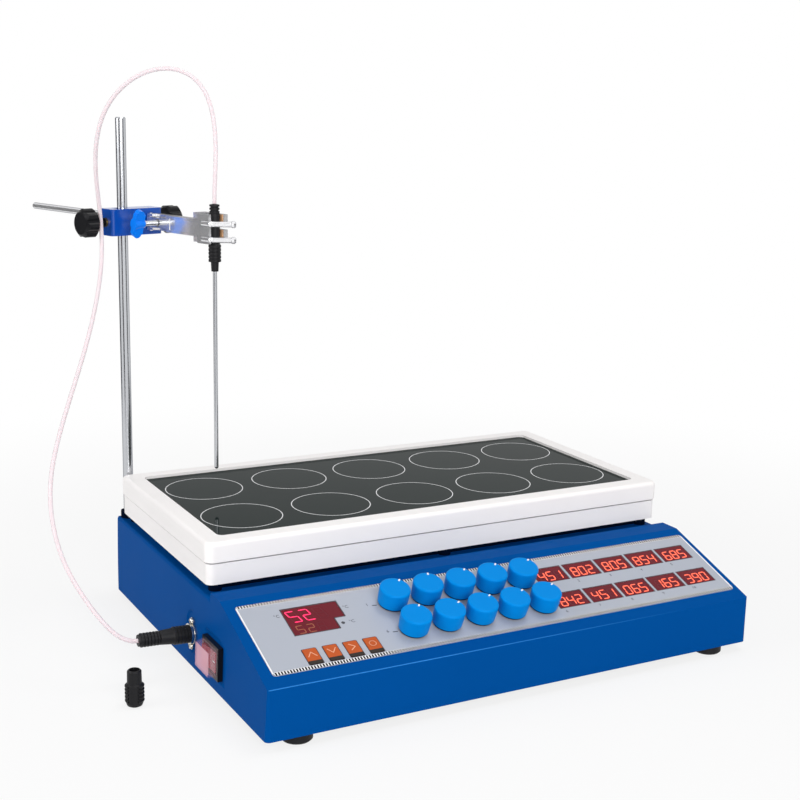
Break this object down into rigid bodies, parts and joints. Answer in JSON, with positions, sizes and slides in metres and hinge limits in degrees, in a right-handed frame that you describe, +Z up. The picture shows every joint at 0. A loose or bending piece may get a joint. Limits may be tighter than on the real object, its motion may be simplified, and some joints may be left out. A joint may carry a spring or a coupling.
{
  "type": "multi-position heated magnetic stirrer",
  "caption": "Heated magnetic stirrer with a row of stirring places under one glass hotplate, speed knobs, read-outs, a support rod and a clamped temperature probe.",
  "frame": {"origin": "middle of the console footprint on the bench, under the feet", "axes": "+Z up, +X to the right along the console, +Y from the control face to the back"},
  "size_m": [0.6079, 0.6082, 0.54],
  "materials": {
    "blue_paint": "satin",
    "white_paint": "satin",
    "dark_plate": "matt",
    "steel": "satin",
    "chrome": "polished",
    "aluminium": "satin",
    "black_rubber": "matt",
    "overlay_grey": "satin",
    "dark_red_window": "gloss",
    "board_green": "satin",
    "key_orange": "satin",
    "knob_blue": "satin",
    "black_glass": "gloss",
    "boss_blue": "gloss",
    "black_plastic": "satin",
    "wing_blue": "satin",
    "cork": "matt",
    "cable_white": "satin",
    "switch_red": "gloss",
    "clear_cap": "gloss"
  },
  "bodies": {
    "console": {"housing_shell": "blue_paint", "base_plate": "dark_plate", "case_screws": "steel", "rubber_feet": "black_rubber", "control_overlay": "overlay_grey", "temperature_display": "dark_red_window", "speed_displays": "dark_red_window", "control_board": "board_green", "speed_pots": "steel", "stir_motors": "steel", "motor_deck": "aluminium", "lower_tray": "white_paint", "upper_tray": "white_paint", "glass_plate": "black_glass", "heater_plate": "aluminium", "sensor_socket": "steel", "power_switch": "black_plastic", "switch_cap": "clear_cap", "mains_inlet": "black_plastic", "cable_plug": "black_rubber", "cable_lower": "cable_white"},
    "rod": {"support_rod": "steel", "cable_middle": "cable_white"},
    "boss": {"boss_head": "boss_blue", "cable_upper": "cable_white"},
    "rod_screw": {"rod_screw": "black_plastic"},
    "arm_screw": {"arm_screw": "black_plastic"},
    "clamp": {"clamp_arm": "chrome", "jaw_pads": "cork", "probe_tube": "steel", "probe_grip": "black_rubber"},
    "jaw": {"moving_jaw": "chrome"},
    "wing": {"wing_screw": "wing_blue"},
    "rocker": {"power_rocker": "switch_red"},
    "drawer": {"fuse_drawer": "black_plastic"},
    "spare": {"spare_plug": "black_rubber"},
    "key_up": {"up_key": "key_orange"},
    "key_down": {"down_key": "key_orange"},
    "key_shift": {"shift_key": "key_orange"},
    "key_set": {"set_key": "key_orange"},
    "knob_1": {"speed_knob_1": "knob_blue"},
    "knob_2": {"speed_knob_2": "knob_blue"},
    "knob_3": {"speed_knob_3": "knob_blue"},
    "knob_4": {"speed_knob_4": "knob_blue"},
    "knob_5": {"speed_knob_5": "knob_blue"},
    "knob_6": {"speed_knob_6": "knob_blue"},
    "knob_7": {"speed_knob_7": "knob_blue"},
    "knob_8": {"speed_knob_8": "knob_blue"},
    "knob_9": {"speed_knob_9": "knob_blue"},
    "knob_10": {"speed_knob_10": "knob_blue"},
    "drive_1": {"stir_drive_1": "aluminium"},
    "drive_2": {"stir_drive_2": "aluminium"},
    "drive_3": {"stir_drive_3": "aluminium"},
    "drive_4": {"stir_drive_4": "aluminium"},
    "drive_5": {"stir_drive_5": "aluminium"},
    "drive_6": {"stir_drive_6": "aluminium"},
    "drive_7": {"stir_drive_7": "aluminium"},
    "drive_8": {"stir_drive_8": "aluminium"},
    "drive_9": {"stir_drive_9": "aluminium"},
    "drive_10": {"stir_drive_10": "aluminium"}
  },
  "joints": [
    {"name": "knob_1_turn", "type": "hinge", "parent": "console", "child": "knob_1", "pos_m": [-0.1005, -0.13291, 0.08361], "axis": [0, -0.3319, 0.9433], "range_deg": [-107, 193]},
    {"name": "knob_2_turn", "type": "hinge", "parent": "console", "child": "knob_2", "pos_m": [-0.067, -0.13291, 0.08361], "axis": [0, -0.3319, 0.9433], "range_deg": [-127, 173]},
    {"name": "knob_3_turn", "type": "hinge", "parent": "console", "child": "knob_3", "pos_m": [-0.0335, -0.13291, 0.08361], "axis": [0, -0.3319, 0.9433], "range_deg": [-108, 192]},
    {"name": "knob_4_turn", "type": "hinge", "parent": "console", "child": "knob_4", "pos_m": [0, -0.13291, 0.08361], "axis": [0, -0.3319, 0.9433], "range_deg": [-110, 190]},
    {"name": "knob_5_turn", "type": "hinge", "parent": "console", "child": "knob_5", "pos_m": [0.0335, -0.13291, 0.08361], "axis": [0, -0.3319, 0.9433], "range_deg": [-100, 200]},
    {"name": "knob_6_turn", "type": "hinge", "parent": "console", "child": "knob_6", "pos_m": [-0.098, -0.16781, 0.07133], "axis": [0, -0.3319, 0.9433], "range_deg": [-114, 186]},
    {"name": "knob_7_turn", "type": "hinge", "parent": "console", "child": "knob_7", "pos_m": [-0.0645, -0.16781, 0.07133], "axis": [0, -0.3319, 0.9433], "range_deg": [-85, 215]},
    {"name": "knob_8_turn", "type": "hinge", "parent": "console", "child": "knob_8", "pos_m": [-0.031, -0.16781, 0.07133], "axis": [0, -0.3319, 0.9433], "range_deg": [-94, 206]},
    {"name": "knob_9_turn", "type": "hinge", "parent": "console", "child": "knob_9", "pos_m": [0.0025, -0.16781, 0.07133], "axis": [0, -0.3319, 0.9433], "range_deg": [-90, 210]},
    {"name": "knob_10_turn", "type": "hinge", "parent": "console", "child": "knob_10", "pos_m": [0.036, -0.16781, 0.07133], "axis": [0, -0.3319, 0.9433], "range_deg": [-96, 204]},
    {"name": "drive_1_spin", "type": "hinge", "parent": "console", "child": "drive_1", "pos_m": [-0.184, 0.1123, 0.104], "axis": [0, 0, 1], "continuous": true},
    {"name": "drive_2_spin", "type": "hinge", "parent": "console", "child": "drive_2", "pos_m": [-0.092, 0.1123, 0.104], "axis": [0, 0, 1], "continuous": true},
    {"name": "drive_3_spin", "type": "hinge", "parent": "console", "child": "drive_3", "pos_m": [0, 0.1123, 0.104], "axis": [0, 0, 1], "continuous": true},
    {"name": "drive_4_spin", "type": "hinge", "parent": "console", "child": "drive_4", "pos_m": [0.092, 0.1123, 0.104], "axis": [0, 0, 1], "continuous": true},
    {"name": "drive_5_spin", "type": "hinge", "parent": "console", "child": "drive_5", "pos_m": [0.184, 0.1123, 0.104], "axis": [0, 0, 1], "continuous": true},
    {"name": "drive_6_spin", "type": "hinge", "parent": "console", "child": "drive_6", "pos_m": [-0.184, 0.0123, 0.104], "axis": [0, 0, 1], "continuous": true},
    {"name": "drive_7_spin", "type": "hinge", "parent": "console", "child": "drive_7", "pos_m": [-0.092, 0.0123, 0.104], "axis": [0, 0, 1], "continuous": true},
    {"name": "drive_8_spin", "type": "hinge", "parent": "console", "child": "drive_8", "pos_m": [0, 0.0123, 0.104], "axis": [0, 0, 1], "continuous": true},
    {"name": "drive_9_spin", "type": "hinge", "parent": "console", "child": "drive_9", "pos_m": [0.092, 0.0123, 0.104], "axis": [0, 0, 1], "continuous": true},
    {"name": "drive_10_spin", "type": "hinge", "parent": "console", "child": "drive_10", "pos_m": [0.184, 0.0123, 0.104], "axis": [0, 0, 1], "continuous": true},
    {"name": "up_key_press", "type": "slide", "parent": "console", "child": "key_up", "axis": [0, 0.3319, -0.9433], "range_m": [0, 0.0005], "stiffness_N_per_m": 400, "springref_m": -0.001},
    {"name": "down_key_press", "type": "slide", "parent": "console", "child": "key_down", "axis": [0, 0.3319, -0.9433], "range_m": [0, 0.0005], "stiffness_N_per_m": 400, "springref_m": -0.001},
    {"name": "shift_key_press", "type": "slide", "parent": "console", "child": "key_shift", "axis": [0, 0.3319, -0.9433], "range_m": [0, 0.0005], "stiffness_N_per_m": 400, "springref_m": -0.001},
    {"name": "set_key_press", "type": "slide", "parent": "console", "child": "key_set", "axis": [0, 0.3319, -0.9433], "range_m": [0, 0.0005], "stiffness_N_per_m": 400, "springref_m": -0.001},
    {"name": "rocker_rock", "type": "hinge", "parent": "console", "child": "rocker", "pos_m": [-0.24506, -0.083, 0.03735], "axis": [-0.0332, 0, -0.9995], "range_deg": [0, 19]},
    {"name": "fuse_drawer_slide", "type": "slide", "parent": "console", "child": "drawer", "axis": [0, 1, 0], "range_m": [0, 0.02]},
    {"name": "spare_plug_lift", "type": "slide", "parent": "console", "child": "spare", "axis": [0, 0, 1], "range_m": [0, 0.06]},
    {"name": "rod_swivel", "type": "hinge", "parent": "console", "child": "rod", "pos_m": [-0.237, 0.192, 0.069], "axis": [0, 0, 1], "range_deg": [-25, 25], "deforming": ["cable_lower", "cable_middle"]},
    {"name": "boss_slide", "type": "slide", "parent": "rod", "child": "boss", "axis": [0, 0, 1], "range_m": [-0.02, 0.08], "deforming": ["cable_upper"]},
    {"name": "rod_screw_turn", "type": "hinge", "parent": "boss", "child": "rod_screw", "pos_m": [-0.26099, 0.18498, 0.39], "axis": [-0.9598, -0.2807, 0], "range_deg": [0, 360]},
    {"name": "arm_screw_turn", "type": "hinge", "parent": "boss", "child": "arm_screw", "pos_m": [-0.19381, 0.20463, 0.39], "axis": [0.9598, 0.2807, 0], "range_deg": [0, 360]},
    {"name": "clamp_slide", "type": "slide", "parent": "boss", "child": "clamp", "axis": [0.2807, -0.9598, 0], "range_m": [0, 0.06]},
    {"name": "jaw_swing", "type": "hinge", "parent": "clamp", "child": "jaw", "pos_m": [-0.21111, 0.18186, 0.39], "axis": [0, 0, -1], "range_deg": [0, 4]},
    {"name": "wing_turn", "type": "hinge", "parent": "clamp", "child": "wing", "pos_m": [-0.2187, 0.16505, 0.39], "axis": [-0.9598, -0.2807, 0], "range_deg": [0, 350]}
  ],
  "couplings": [
    {"joint": "jaw_swing", "follows": "wing_turn", "ratio": 0.01137}
  ]
}
